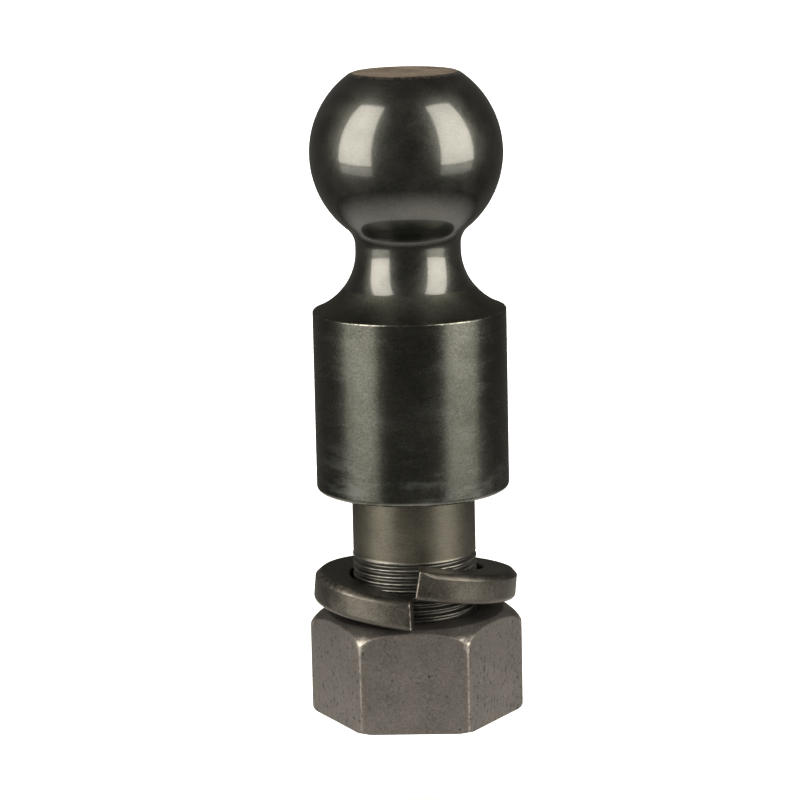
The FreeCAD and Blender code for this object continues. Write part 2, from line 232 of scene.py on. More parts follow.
@dataclass(frozen=True)
class OiledSteel:
    """Steel under a dark oxide, with mottling, marks of making, pits and worn edges.

    The values are linear colours, roughness from 0 to 1, cells in a metre, and depths in metres.
    """

    name: str
    dark: Colour
    light: Colour
    worn: Colour
    rough: float
    rough_spread: float
    grain: Grain
    mottle_scale: float = 90.0
    mottle: float = 0.3
    speckle: float = 0.3
    marks: float = 0.4
    marks_scale: float = 700.0
    marks_depth: float = 0.00001
    pit_scale: float = 900.0
    pit_share: float = 0.1
    pit_depth: float = 0.00003
    sheen_coat: float = 0.0
    coat_rough: float = 0.08
    metallic: float = 1.0
    streaks: float = 0.0
    dust: float = 0.0
    dust_height: float = 0.0

    EVEN: ClassVar[Triple] = (1.0, 1.0, 1.0)
    CLOUD_RANGE: ClassVar[Point] = (0.3, 0.7)
    SPECKLE_FINENESS: ClassVar[float] = 27.0
    SPECKLE_RANGE: ClassVar[Point] = (0.35, 0.65)
    SPECKLE_ROUGHENS: ClassVar[float] = 0.6
    PIT_FLOOR: ClassVar[float] = 0.3
    PIT_PATCHES: ClassVar[float] = 2.3
    PIT_PATCH_RANGE: ClassVar[Point] = (0.45, 0.62)
    PIT_SHADES: ClassVar[float] = 0.75
    PIT_DARKNESS: ClassVar[float] = 0.35
    PIT_ROUGHENS: ClassVar[float] = 0.2
    PIT_BARES: ClassVar[float] = 0.5
    STREAK_STRETCH: ClassVar[Triple] = (1.0, 1.0, 0.5)
    STREAK_SCALE: ClassVar[float] = 950.0
    STREAK_RANGE: ClassVar[Point] = (0.56, 0.66)
    RUB_SCALE: ClassVar[float] = 420.0
    RUB_RANGE: ClassVar[Point] = (0.34, 0.6)
    RUB_SPREAD: ClassVar[float] = 0.95
    RUB_LEAST: ClassVar[float] = 0.2
    RUB_SHOWS: ClassVar[Point] = (0.18, 0.85)
    RUB_SMOOTHS: ClassVar[float] = 0.25
    SMOOTHEST: ClassVar[float] = 0.03
    COAT_IOR: ClassVar[float] = 1.6
    COAT_LEAST: ClassVar[float] = 0.71
    COAT_CLOUD: ClassVar[float] = 0.2
    COAT_SPECKLE: ClassVar[float] = 0.07
    HAZE_STRETCH: ClassVar[Triple] = (1.0, 1.0, 3.6)
    HAZE_SCALE: ClassVar[float] = 65.0
    HAZE_RANGE: ClassVar[Point] = (0.46, 0.72)
    HAZE_FADES_FROM: ClassVar[float] = 0.4
    HAZE_LOW_DOWN: ClassVar[float] = 0.7
    HAZE_LEAST: ClassVar[float] = 0.3
    HAZE_ROUGHENS: ClassVar[float] = 0.25
    HAZE_COLOUR: ClassVar[Colour] = (0.155, 0.168, 0.17, 1.0)

    def material(self) -> bpy.types.Material:
        """Build the finish.

        Returns:
            A material whose patterns lie in Object coordinates.
        """
        material = bpy.data.materials.new(self.name)
        bench = NodeBench.of(material)
        even = bench.stretched(self.EVEN)
        drawn = bench.stretched(self.grain.value)
        cloud = bench.noise(even, self.mottle_scale, 5.0, 0.6).between(*self.CLOUD_RANGE)
        speckle = bench.noise(even, self.mottle_scale * self.SPECKLE_FINENESS, 3.0, 0.6)
        speckle = speckle.between(*self.SPECKLE_RANGE)
        marks = bench.noise(drawn, self.marks_scale, 4.0, 0.6)
        hollows = self._hollows(bench, even, drawn)

        tone = 0.5 + (cloud - 0.5) * self.mottle + (speckle - 0.5) * self.speckle
        tone = tone + (marks - 0.5) * (2 * self.marks)
        base = bench.blend(tone.high(0.0).low(1.0), self.dark, self.light)
        pit_colour = tuple(self.PIT_DARKNESS * part for part in self.dark[:3]) + (1.0,)
        base = bench.blend(hollows * self.PIT_SHADES, base, pit_colour)
        patchy = bench.noise(even, self.RUB_SCALE, 4.0, 0.7).between(*self.RUB_RANGE)
        # The worn attribute is rubbed metal; on the nut it also carries a painted highlight below the crown's
        # corners.
        wear = bench.attribute("worn") * (patchy * self.RUB_SPREAD + self.RUB_LEAST)
        wear = wear.between(*self.RUB_SHOWS)
        base = bench.blend(wear, base, self.worn)
        rough = self.rough + (cloud - 0.5) * self.rough_spread
        rough = rough + (speckle - 0.5) * (self.rough_spread * self.SPECKLE_ROUGHENS)
        rough = rough + hollows * self.PIT_ROUGHENS - wear * (self.RUB_SMOOTHS * self.rough)
        if self.dust:
            base, rough = self._dusted(bench, base, rough)

        height = marks * self.marks_depth - hollows * self.pit_depth
        bump = {"Strength": 1.0, "Distance": 1.0, "Height": height}
        sockets = {
            "Base Color": base,
            "Metallic": self.metallic,
            "Roughness": rough.high(self.SMOOTHEST).low(1.0),
            "Coat Roughness": self.coat_rough,
            "Coat IOR": self.COAT_IOR,
            "Normal": bench.result("ShaderNodeBump", inputs=bump),
        }
        if self.sheen_coat:
            coat = speckle * self.COAT_SPECKLE + cloud * self.COAT_CLOUD + self.COAT_LEAST
            sockets["Coat Weight"] = (coat - hollows * self.PIT_BARES) * self.sheen_coat
        surface = bench.result("ShaderNodeBsdfPrincipled", inputs=sockets)
        bench.node("ShaderNodeOutputMaterial", inputs={"Surface": surface})
        return material

    def _hollows(self, bench: NodeBench, even: Value, drawn: Value) -> Value:
        """Scatter pits in patches, with upright streaks where the piece asks for them.

        Args:
            bench: the tree that is being filled.
            even: unstretched coordinates.
            drawn: coordinates stretched along the marks of making.

        Returns:
            0 on the sound surface and 1 in the middle of a pit.
        """
        spots = bench.pits(drawn, self.pit_scale)
        hollows = 1 - spots.between(self.pit_share * self.PIT_FLOOR, self.pit_share)
        patches = bench.noise(even, self.mottle_scale * self.PIT_PATCHES, 2.0)
        hollows = hollows * patches.between(*self.PIT_PATCH_RANGE)
        if self.streaks:
            upright = bench.noise(bench.stretched(self.STREAK_STRETCH), self.STREAK_SCALE, 5.0, 0.6)
            upright = upright.between(*self.STREAK_RANGE)
            hollows = hollows.high(upright * bench.attribute("pitted") * self.streaks)
        return hollows

    def _dusted(self, bench: NodeBench, base: Value, rough: Value) -> tuple[Value, Value]:
        """Wipe a dry haze round the surface.

        Args:
            bench: the tree that is being filled.
            base: the colour so far.
            rough: the roughness so far.

        Returns:
            The colour and the roughness under the haze.
        """
        height = bench.result("ShaderNodeSeparateXYZ", inputs={0: bench.stretched(self.EVEN)}, output=2)
        low_down = 1 - height.between(self.dust_height * self.HAZE_FADES_FROM, self.dust_height)
        wipes = bench.noise(bench.stretched(self.HAZE_STRETCH), self.HAZE_SCALE, 5.0, 0.65)
        haze = wipes.between(*self.HAZE_RANGE) * (low_down * self.HAZE_LOW_DOWN + self.HAZE_LEAST) * self.dust
        return bench.blend(haze, base, self.HAZE_COLOUR), rough + haze * self.HAZE_ROUGHENS


POLISHED_BALL = OiledSteel(
    name="polished_black_oxide", dark=(0.036, 0.039, 0.036, 1), light=(0.088, 0.09, 0.08, 1),
    worn=(0.45, 0.38, 0.31, 1), rough=0.34, rough_spread=0.08, grain=Grain.TURNED,
    mottle_scale=75.0, mottle=0.5, speckle=0.3, marks=0.2, marks_scale=300.0, marks_depth=0.0000006,
    pit_scale=700.0, pit_share=0.12, pit_depth=0.000004, sheen_coat=1.0, coat_rough=0.1)
FORGED_FLAT = OiledSteel(
    name="forged_flat", dark=(0.18, 0.147, 0.118, 1), light=(0.46, 0.39, 0.32, 1),
    worn=(0.5, 0.42, 0.34, 1), rough=0.62, rough_spread=0.15, grain=Grain.FORGED,
    mottle_scale=120.0, marks_scale=900.0, marks_depth=0.00008, pit_scale=1100.0, pit_share=0.3,
    pit_depth=0.00012)
TURNED_FLARE = OiledSteel(
    name="turned_flare", dark=(0.036, 0.038, 0.032, 1), light=(0.082, 0.084, 0.072, 1),
    worn=(0.55, 0.5, 0.43, 1), rough=0.42, rough_spread=0.06, grain=Grain.TURNED,
    mottle_scale=60.0, mottle=0.3, speckle=0.4, marks_scale=300.0, marks_depth=0.000004,
    pit_scale=1000.0, pit_share=0.12, pit_depth=0.00001)
TURNED_COLLAR = OiledSteel(
    name="turned_black_oxide", dark=(0.06, 0.064, 0.054, 1), light=(0.15, 0.154, 0.138, 1),
    worn=(0.56, 0.53, 0.47, 1), rough=0.25, rough_spread=0.03, grain=Grain.TURNED,
    mottle_scale=60.0, mottle=0.36, speckle=0.4, marks=0.3, marks_scale=300.0, marks_depth=0.000002,
    pit_scale=1000.0, pit_share=0.12, pit_depth=0.000006, dust=0.55, dust_height=0.02)
BROWNED_SHANK = OiledSteel(
    name="browned_shank", dark=(0.08, 0.077, 0.063, 1), light=(0.165, 0.158, 0.132, 1),
    worn=(0.6, 0.55, 0.47, 1), rough=0.4, rough_spread=0.04, grain=Grain.TURNED,
    mottle_scale=80.0, mottle=0.25, speckle=0.35, marks_scale=300.0, marks_depth=0.000003,
    pit_scale=1100.0, pit_share=0.14, pit_depth=0.000008)
CUT_THREAD = OiledSteel(
    name="cut_thread", dark=(0.066, 0.065, 0.06, 1), light=(0.185, 0.184, 0.17, 1),
    worn=(0.5, 0.49, 0.46, 1), rough=0.44, rough_spread=0.14, grain=Grain.TURNED,
    mottle_scale=150.0, marks_scale=500.0, marks_depth=0.000006, pit_scale=1300.0, pit_share=0.16,
    pit_depth=0.00001)
SPRING_BAR = OiledSteel(
    name="spring_bar", dark=(0.047, 0.0445, 0.0395, 1), light=(0.12, 0.113, 0.1, 1),
    worn=(0.34, 0.32, 0.28, 1), rough=0.44, rough_spread=0.1, grain=Grain.FORGED,
    mottle_scale=110.0, mottle=0.45, speckle=0.6, marks_scale=800.0, marks_depth=0.00004,
    pit_scale=1000.0, pit_share=0.24, pit_depth=0.00006)
# On the nut the worn colour is rubbed metal and also a painted highlight below the crown's corners.
PITTED_NUT = OiledSteel(
    name="pitted_nut", dark=(0.079, 0.0735, 0.0695, 1), light=(0.186, 0.175, 0.166, 1),
    worn=(0.31, 0.292, 0.266, 1), rough=0.56, rough_spread=0.08, grain=Grain.FORGED,
    mottle_scale=100.0, mottle=0.2, speckle=0.5, marks=0.4, marks_scale=900.0, marks_depth=0.00003,
    pit_scale=260.0, pit_share=0.2, pit_depth=0.00012, streaks=0.85)


# ---------------------------------------------------------------- meshes

class Outline:
    """A half section drawn upwards: points of radius and height, in millimetres."""

    CONTROL = 0.12
    SAME_POINT = 0.006

    def __init__(self, radius: float, height: float) -> None:
        """Start at one point."""
        self.points: list[Point] = [(radius, height)]

    def line(self, radius: float, height: float, steps: int = 1, control: bool = True) -> "Outline":
        """Draw a straight edge, with a ring close to each end of a long one.

        Args:
            radius: where it ends.
            height: where it ends.
            steps: how many parts the middle of the edge is cut into.
            control: add those rings.

        Returns:
            The outline itself.
        """
        start_radius, start_height = self.points[-1]
        across, up = radius - start_radius, height - start_height
        length = math.hypot(across, up)
        shares = [step / steps for step in range(1, steps)]
        if control and length > 3 * self.CONTROL:
            near = self.CONTROL / length
            shares = [near] + [share for share in shares if near < share < 1 - near] + [1 - near]
        for share in shares + [1.0]:
            self.points.append((start_radius + across * share, start_height + up * share))
        return self

    def arc(self, centre: Point, radius: float, start: float, end: float, steps: int) -> "Outline":
        """Draw an arc.

        Args:
            centre: its centre.
            radius: its radius.
            start: the angle it starts at, in degrees, 0 outwards and 90 upwards.
            end: the angle it ends at.
            steps: how many edges it has.

        Returns:
            The outline itself.
        """
        for step in range(steps + 1):
            angle = math.radians(start + (end - start) * step / steps)
            point = (centre[0] + radius * math.cos(angle), centre[1] + radius * math.sin(angle))
            if math.dist(point, self.points[-1]) > self.SAME_POINT:
                self.points.append(point)
        return self


class Shell:
    """A mesh that is being put together, in metres."""

    def __init__(self) -> None:
        """Start empty."""
        self.work = bmesh.new()

    def rows(self, rows: Sequence[Sequence[Vector]]) -> None:
        """Join closed rows of points with faces.

        Args:
            rows: rings with the same number of points each, in millimetres.
        """
        rings = [[self.work.verts.new(point * MM) for point in row] for row in rows]
        for lower, upper in zip(rings, rings[1:]):
            for number, first in enumerate(lower):
                following = (number + 1) % len(lower)
                self.work.faces.new((first, lower[following], upper[following], upper[number]))

    def turned(self, points: Sequence[Point], steps: int) -> None:
        """Turn a half section once round the upright axis."""
        angles = [FULL_TURN * step / steps for step in range(steps)]
        self.rows([[Vector((radius * math.cos(angle), radius * math.sin(angle), height)) for angle in angles]
                   for radius, height in points])

    def add(self, mesh: bpy.types.Mesh) -> None:
        """Take in a finished mesh without its materials and remove it from the file."""
        mesh.materials.clear()
        self.work.from_mesh(mesh)
        bpy.data.meshes.remove(mesh)

    def piece(self, name: str) -> bpy.types.Object:
        """Close the shell and make it an object at the origin.

        Args:
            name: the object's name.

        Returns:
            A smooth-shaded object whose faces point outwards.
        """
        bmesh.ops.remove_doubles(self.work, verts=self.work.verts, dist=MERGE_GAP)
        bmesh.ops.dissolve_degenerate(self.work, edges=self.work.edges, dist=MERGE_GAP * 0.1)
        bmesh.ops.recalc_face_normals(self.work, faces=self.work.faces)
        for face in self.work.faces:
            face.smooth = True
        mesh = bpy.data.meshes.new(name)
        self.work.to_mesh(mesh)
        self.work.free()
        return link(name, mesh)


def link(name: str, mesh: bpy.types.Mesh) -> bpy.types.Object:
    """Put a mesh in the scene as an object at the origin."""
    thing = bpy.data.objects.new(name, mesh)
    bpy.context.scene.collection.objects.link(thing)
    return thing


def mark(mesh: bpy.types.Mesh, name: str, rule: Callable[[Vector], float]) -> None:
    """Write an attribute that the finishes read, such as bare, rubbed metal.

    Args:
        mesh: the finished mesh.
        name: the attribute's name.
        rule: gives the amount from 0 to 1 at a place in millimetres.
    """
    amounts = mesh.attributes.get(name) or mesh.attributes.new(name, "FLOAT", "POINT")
    for vertex, entry in zip(mesh.vertices, amounts.data):
        entry.value = min(1.0, max(0.0, rule(vertex.co / MM)))


def ease(value: float, start: float, end: float) -> float:
    """Run smoothly from 0 at start to 1 at end."""
    share = min(1.0, max(0.0, (value - start) / (end - start)))
    return share * share * (3 - 2 * share)


# ---------------------------------------------------------------- geometry nodes

@dataclass(frozen=True)
class TreeInput:
    """One named input of a Geometry Nodes tree."""

    name: str
    kind: str
    value: Union[float, int, bpy.types.Material, None]


class ShapeTree:
    """A Geometry Nodes tree with named inputs, run once on a mesh."""

    def __init__(self, name: str, inputs: Sequence[TreeInput]) -> None:
        """Make the tree and its inputs."""
        self.name = name
        self.inputs = inputs
        self.tree = bpy.data.node_groups.new(name, "GeometryNodeTree")
        self.tree.interface.new_socket("Geometry", in_out="INPUT", socket_type="NodeSocketGeometry")
        self.sockets = {}
        for each in inputs:
            socket = self.tree.interface.new_socket(each.name, in_out="INPUT", socket_type=each.kind)
            self.sockets[each.name] = socket
        self.tree.interface.new_socket("Geometry", in_out="OUTPUT", socket_type="NodeSocketGeometry")
        self.bench = NodeBench(self.tree)
        self.group = self.bench.node("NodeGroupInput")

    def given(self, name: str) -> Value:
        """Return the value of a named input."""
        return Value(self.bench, self.group.outputs[name])

    def place(self, geometry: Value, across: Value, angle: Value, height: Value) -> Value:
        """Move points to a radius, an angle and a height."""
        spot = self.bench.result("ShaderNodeCombineXYZ", inputs={
            0: across * angle.cosine(), 1: across * angle.sine(), 2: height})
        return self.bench.result("GeometryNodeSetPosition", inputs={"Geometry": geometry, "Position": spot})

    def coordinates(self) -> tuple[Value, Value, Value]:
        """Return the X, Y and Z of each point."""
        position = self.bench.result("GeometryNodeInputPosition")
        split = self.bench.node("ShaderNodeSeparateXYZ", inputs={0: position})
        return tuple(Value(self.bench, output) for output in split.outputs)

    def close(self, geometry: Value) -> None:
        """End the tree: smooth faces, real instances and the finish."""
        smooth = self.bench.result("GeometryNodeSetShadeSmooth", inputs={"Geometry": geometry})
        real = self.bench.result("GeometryNodeRealizeInstances", inputs={"Geometry": smooth})
        dressed = self.bench.result("GeometryNodeSetMaterial", inputs={
            "Geometry": real, "Material": self.given("Finish")})
        self.bench.node("NodeGroupOutput", inputs={0: dressed})

    def run(self, mesh: Optional[bpy.types.Mesh] = None) -> bpy.types.Mesh:
        """Run the tree.

        Args:
            mesh: what it starts from, or nothing.

        Returns:
            The result as a plain mesh.
        """
        carrier = link(f"{self.name}_carrier", mesh or bpy.data.meshes.new(self.name))
        modifier = carrier.modifiers.new(self.name, "NODES")
        modifier.node_group = self.tree
        for each in self.inputs:
            modifier[self.sockets[each.name].identifier] = each.value
        graph = bpy.context.evaluated_depsgraph_get()
        result = bpy.data.meshes.new_from_object(carrier.evaluated_get(graph))
        carrier.modifiers.clear()
        bpy.data.objects.remove(carrier)
        return result


@dataclass(frozen=True)
class ScrewThread:
    """A right-handed thread's surface between two heights, in millimetres.

    side is 1 for a thread cut into a bar and -1 for one cut into a bore. groove_start is the height of a
    groove's centre at angle 0, below the low end.
    """

    side: int
    crest_radius: float
    root_radius: float
    pitch: float
    groove_start: float
    low_end: float
    low_radius: float
    high_end: float
    high_radius: float
    high_step: float
    last_turn: float
    fade_turns: float
    steps_round: int
    crest_share: float = 0.125
    floor_share: float = 0.166667
    steps_across: int = 12

    def surface(self, finish: bpy.types.Material) -> bpy.types.Mesh:
        """Cut the thread.

        A strip one pitch wide winds up the thread, and its edge meets the next turn. Points past an end
        are gathered on the end's circle.

        Args:
            finish: the thread's material.

        Returns:
            The thread's surface alone, in metres.
        """
        turns = math.ceil((self.high_end - self.groove_start) / self.pitch + 1)
        tree = ShapeTree("screw_thread", [
            TreeInput("Turns", "NodeSocketInt", turns),
            TreeInput("Steps Round", "NodeSocketInt", self.steps_round),
            TreeInput("Steps Across", "NodeSocketInt", self.steps_across),
            TreeInput("Side", "NodeSocketFloat", float(self.side)),
            TreeInput("Pitch", "NodeSocketFloat", self.pitch * MM),
            TreeInput("Groove Start", "NodeSocketFloat", self.groove_start * MM),
            TreeInput("Crest Radius", "NodeSocketFloat", self.crest_radius * MM),
            TreeInput("Root Radius", "NodeSocketFloat", self.root_radius * MM),
            TreeInput("Crest Share", "NodeSocketFloat", self.crest_share),
            TreeInput("Floor Share", "NodeSocketFloat", self.floor_share),
            TreeInput("Low End", "NodeSocketFloat", self.low_end * MM),
            TreeInput("Low Radius", "NodeSocketFloat", self.low_radius * MM),
            TreeInput("High End", "NodeSocketFloat", self.high_end * MM),
            TreeInput("High Radius", "NodeSocketFloat", self.high_radius * MM),
            TreeInput("High Step", "NodeSocketFloat", self.high_step * MM),
            TreeInput("Last Turn", "NodeSocketFloat", self.last_turn),
            TreeInput("Fade Turns", "NodeSocketFloat", self.fade_turns),
            TreeInput("Merge Gap", "NodeSocketFloat", MERGE_GAP),
            TreeInput("Finish", "NodeSocketMaterial", finish),
        ])
        given = tree.given
        strip = tree.bench.result("GeometryNodeMeshGrid", inputs={
            "Size X": 1.0, "Size Y": given("Turns"),
            "Vertices X": given("Steps Across") + 1,
            "Vertices Y": given("Turns") * given("Steps Round") + 1,
        })
        share, along, _ = tree.coordinates()
        turn = along + given("Turns") * 0.5
        height = given("Groove Start") + (turn + share) * given("Pitch")
        height = height.high(given("Low End")).low(given("High End"))

        from_floor = share.size() * 2
        ridge = from_floor.between(given("Floor Share"), 1 - given("Crest Share"))
        left = given("Last Turn") + given("Fade Turns") - turn
        lifted = 1 - left.between(0.0, given("Fade Turns"), smooth=False)
        cut = (1 - ridge - lifted).high(0.0)
        side = given("Side")
        across = side * (given("Crest Radius") + (given("Root Radius") - given("Crest Radius")) * cut)
        low_limit = side * given("Low Radius") + height - given("Low End")
        high_limit = side * given("High Radius") + (given("High Step") - height).high(0.0)
        across = across.low(low_limit).low(high_limit) * side
        wound = tree.place(strip, across, turn * FULL_TURN, height)
        joined = tree.bench.result("GeometryNodeMergeByDistance", inputs={
            "Geometry": wound, "Distance": given("Merge Gap")})
        tree.close(joined)
        return tree.run()


# ---------------------------------------------------------------- the ball stud

class StudZone(Enum):
    """The finishes along the stud, in the order of its material slots."""

    BALL = POLISHED_BALL
    FLAT = FORGED_FLAT
    FLARE = TURNED_FLARE
    COLLAR = TURNED_COLLAR
    SHANK = BROWNED_SHANK
    THREAD = CUT_THREAD


@dataclass(frozen=True)
class RubbedBand:
    """A band of rubbed metal round an edge. Heights are in millimetres, and amount is from 0 to 1."""

    height: float
    core: float
    fades: float
    amount: float

    def at(self, height: float) -> float:
        """Return how rubbed the metal is at a height."""
        return self.amount * (1 - ease(abs(height - self.height), self.core, self.fades))


@dataclass
class BallStud:
    """The forged ball stud: ball, neck, collar, shank and thread. Sizes in millimetres."""

    node: str = "hitch_ball"
    slot: str = "ball_stud_steel"
    ball_radius: float = 29.37
    ball_height: float = 103.3
    flat_height: float = 127.7
    flat_edge: float = 0.5
    neck_radius: float = 16.1
    neck_fillet: float = 6.75
    flare_height: float = 73.54
    flare_upper_radius: float = 18.0
    flare_upper_turn: float = 36.0
    flare_lower_radius: float = 21.65
    flare_full_turn: float = 69.2
    collar_radius: float = 29.57
    rim_drop: float = 0.3
    seat_edge: float = 1.45
    seat_fillet: float = 0.8
    shank_radius: float = 18.88
    shank_length: float = 70.4
    shank_chamfer: float = 1.9
    thread_radius: float = 19.05
    thread_depth: float = 1.298
    thread_pitch: float = 2.1167
    thread_top: float = 19.9
    thread_start_turns: float = 1.5
    last_turn: float = 25.0
    fade_turns: float = 0.73
    shank_joins: float = 18.7
    polish_ends: float = 62.6
    rim_rub: float = 0.36
    rim_rub_from: float = 28.5
    flat_rub: float = 0.5
    seat_rub: float = 0.35
    seat_rub_from: Point = (28.0, 28.9)
    crest_rub: float = 0.36
    crest_depth: float = 0.3
    steps_round: int = 144

    def build(self) -> bpy.types.Object:
        """Build and dress the stud.

        Returns:
            The finished piece.
        """
        zones = list(StudZone)
        materials = [zone.value.material() for zone in zones]
        shell = Shell()
        shell.turned(self.end_outline().points, self.steps_round)
        shell.turned(self.outline().points, self.steps_round)
        shell.add(self.thread().surface(materials[zones.index(StudZone.THREAD)]))
        piece = shell.piece("ball_stud")
        for material in materials:
            piece.data.materials.append(material)
        for face in piece.data.polygons:
            face.material_index = zones.index(self.zone(face.center / MM))
        mark(piece.data, "worn", self.wear)
        return piece

    def end_outline(self) -> Outline:
        """Return the shank's flat end, out to its chamfer."""
        rim = self.thread_radius - self.shank_chamfer
        return Outline(0.0, -self.shank_length).line(rim, -self.shank_length, steps=3)

    def flare(self) -> tuple[Point, Point]:
        """Return the centre of the flare's lower arc and the point of the rim where it ends."""
        turn, full = math.radians(self.flare_upper_turn), math.radians(self.flare_full_turn)
        upper, lower = self.flare_upper_radius, self.flare_lower_radius
        bend = (self.neck_radius + upper * (1 - math.cos(turn)), self.flare_height - upper * math.sin(turn))
        centre = (bend[0] + lower * math.cos(turn), bend[1] + lower * math.sin(turn))
        return centre, (centre[0] - lower * math.cos(full), centre[1] - lower * math.sin(full))

    def outline(self) -> Outline:
        """Return the half section from the smooth shank up to the flat on the ball."""
        shank, collar, neck, ball = self.shank_radius, self.collar_radius, self.neck_radius, self.ball_radius
        outline = Outline(shank, -self.shank_joins)
        outline.line(shank, -self.seat_fillet, steps=8)
        outline.arc((shank + self.seat_fillet, -self.seat_fillet), self.seat_fillet, 180, 90, steps=5)
        outline.line(collar - self.seat_edge, 0.0, steps=4)
        outline.arc((collar - self.seat_edge, self.seat_edge), self.seat_edge, -90, 0, steps=8)
        upper = self.flare_upper_radius
        bend, rim_angle = 180 + self.flare_upper_turn, 180 + self.flare_full_turn
        lower_centre, rim = self.flare()
        outline.line(collar, rim[1] - self.rim_drop, steps=16)
        outline.line(*rim)
        outline.arc(lower_centre, self.flare_lower_radius, rim_angle, bend, steps=22)
        outline.arc((neck + upper, self.flare_height), upper, bend, 180, steps=18)
        lean = math.acos((neck + self.neck_fillet) / (ball + self.neck_fillet))
        fillet_height = self.ball_height - (ball + self.neck_fillet) * math.sin(lean)
        outline.line(neck, fillet_height, steps=6)
        turn = math.degrees(lean)
        outline.arc((neck + self.neck_fillet, fillet_height), self.neck_fillet, 180, 180 - turn, steps=12)
        cap = self.flat_height - self.ball_height
        top = math.degrees(math.asin((cap - self.flat_edge) / ball))
        outline.arc((0.0, self.ball_height), ball, -turn, top, steps=76)
        edge = math.sqrt(ball ** 2 - cap ** 2) - self.flat_edge
        outline.line(edge, self.flat_height)
        return outline.line(0.0, self.flat_height, steps=8)

    def thread(self) -> ScrewThread:
        """Return the thread on the shank."""
        rim = self.thread_radius - self.shank_chamfer
        return ScrewThread(
            side=1, crest_radius=self.thread_radius, root_radius=self.thread_radius - self.thread_depth,
            pitch=self.thread_pitch,
            groove_start=-self.shank_length - self.thread_start_turns * self.thread_pitch,
            low_end=-self.shank_length, low_radius=rim,
            high_end=-self.shank_joins, high_radius=self.shank_radius,
            high_step=self.thread_shoulder(),
            last_turn=self.last_turn, fade_turns=self.fade_turns, steps_round=self.steps_round)

    def zone(self, place: Vector) -> StudZone:
        """Return the finish at a place."""
        if place.z > self.flat_height - self.flat_edge * 0.5:
            return StudZone.FLAT
        if place.z > self.polish_ends:
            return StudZone.BALL
        if place.z > self.collar_top():
            return StudZone.FLARE
        if place.z > -self.seat_fillet * 0.5:
            return StudZone.COLLAR
        if place.z > self.thread_shoulder():
            return StudZone.SHANK
        return StudZone.THREAD

    def thread_shoulder(self) -> float:
        """Return the height where the thread's crests meet the smooth shank."""
        return self.thread_radius - self.shank_radius - self.thread_top

    def collar_top(self) -> float:
        """Return the height of the collar's top rim."""
        return self.flare()[1][1]

    def wear(self, place: Vector) -> float:
        """Return how rubbed the stud is at a place: its rims and the thread's crests."""
        across = math.hypot(place.x, place.y)
        rim = RubbedBand(self.collar_top() - 0.15, 0.1, 0.45, self.rim_rub).at(place.z)
        flat = RubbedBand(self.flat_height - 0.25, 0.2, 0.6, self.flat_rub).at(place.z)
        seat = RubbedBand(0.4, 0.2, 0.9, self.seat_rub).at(place.z) * ease(across, *self.seat_rub_from)
        crest = self.crest_rub * ease(across, self.thread_radius - self.crest_depth, self.thread_radius)
        return max(rim if across > self.rim_rub_from else 0.0, flat, seat,
                   crest if place.z < -self.thread_top else 0.0)


# ---------------------------------------------------------------- the lock washer

